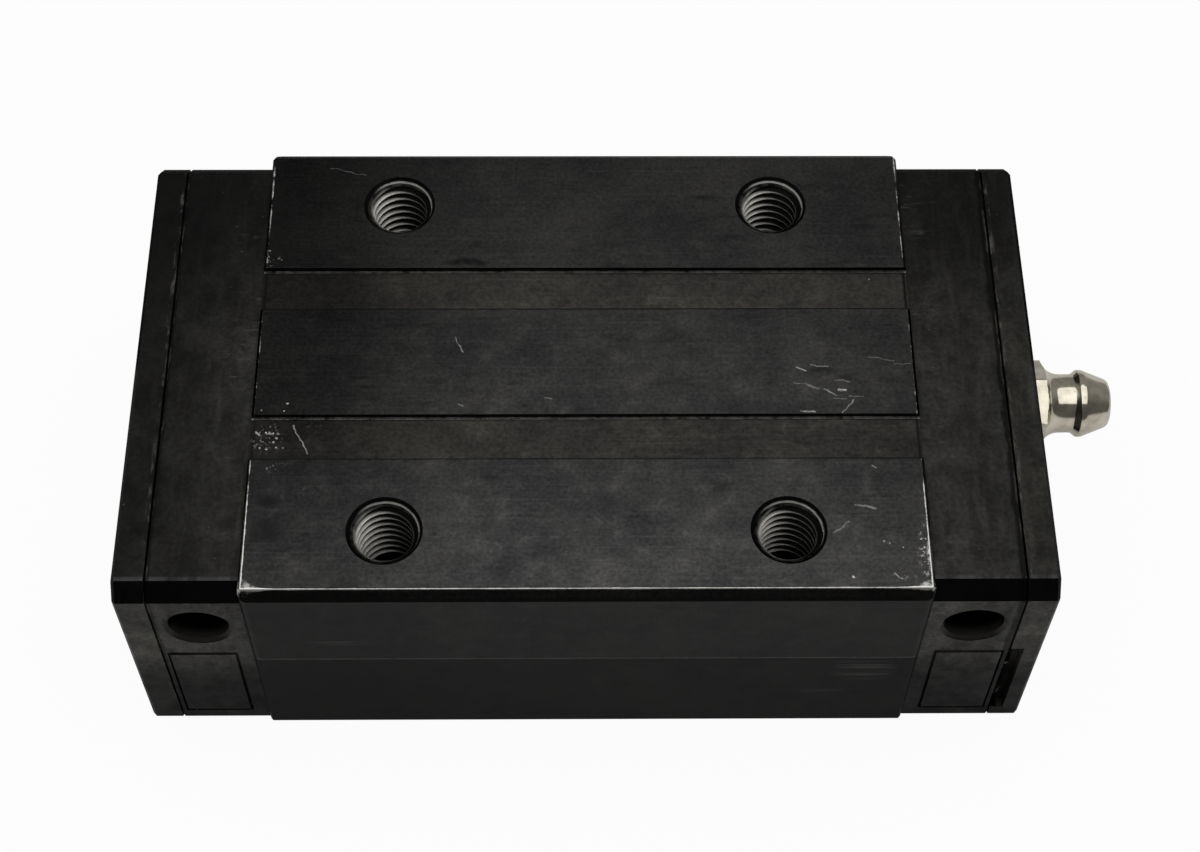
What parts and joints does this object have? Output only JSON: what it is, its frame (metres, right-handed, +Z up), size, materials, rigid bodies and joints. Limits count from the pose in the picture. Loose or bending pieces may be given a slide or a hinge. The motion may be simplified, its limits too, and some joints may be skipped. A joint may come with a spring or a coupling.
{
  "type": "linear guide block",
  "caption": "Compact square linear guide block with recirculating balls, black steel body with tapped mounting holes, end caps, end seals and a grease nipple, without its rail.",
  "frame": {"origin": "on the rail's centre plane, at the middle of the steel body's length, in the plane of the body's feet", "axes": "+X along the rail toward the grease nipple, +Y across the rail, +Z up out of the mounting face"},
  "size_m": [0.0895, 0.048, 0.026],
  "materials": {
    "black_steel": "thin satin black surface coating on ground steel, worn bright at the edges",
    "cap_plastic": "matte black moulding",
    "seal_plate": "matte black plate",
    "seal_rubber": "matte black rubber",
    "strip_steel": "cold-rolled strip",
    "screw_steel": "plain zinc-plated steel",
    "ball_steel": "polished bearing steel",
    "guide_plastic": "natural moulded plastic",
    "nipple_plating": "bright nickel plating"
  },
  "bodies": {
    "block": {"ball_retainer_front": "strip_steel", "ball_retainer_rear": "strip_steel", "balls_front_lower": "ball_steel", "balls_front_upper": "ball_steel", "balls_rear_lower": "ball_steel", "balls_rear_upper": "ball_steel", "block_body": "black_steel", "bottom_seal_front": "seal_rubber", "bottom_seal_rear": "seal_rubber", "end_cap_left": "cap_plastic", "end_cap_right": "cap_plastic", "end_screws": "screw_steel", "end_seal_lip_left": "seal_rubber", "end_seal_lip_right": "seal_rubber", "end_seal_plate_left": "seal_plate", "end_seal_plate_right": "seal_plate", "grease_nipple": "nipple_plating", "nipple_spring": "strip_steel", "port_plug": "screw_steel", "return_guide_left_front_lower": "guide_plastic", "return_guide_left_front_upper": "guide_plastic", "return_guide_left_rear_lower": "guide_plastic", "return_guide_left_rear_upper": "guide_plastic", "return_guide_right_front_lower": "guide_plastic", "return_guide_right_front_upper": "guide_plastic", "return_guide_right_rear_lower": "guide_plastic", "return_guide_right_rear_upper": "guide_plastic"},
    "check_ball": {"nipple_check_ball": "ball_steel"}
  },
  "joints": [
    {"name": "check_ball_press", "type": "slide", "parent": "block", "child": "check_ball", "axis": [-1, 0, 0], "range_m": [0, 0.0009], "stiffness_N_per_m": 200, "deforming": ["nipple_spring"]}
  ]
}
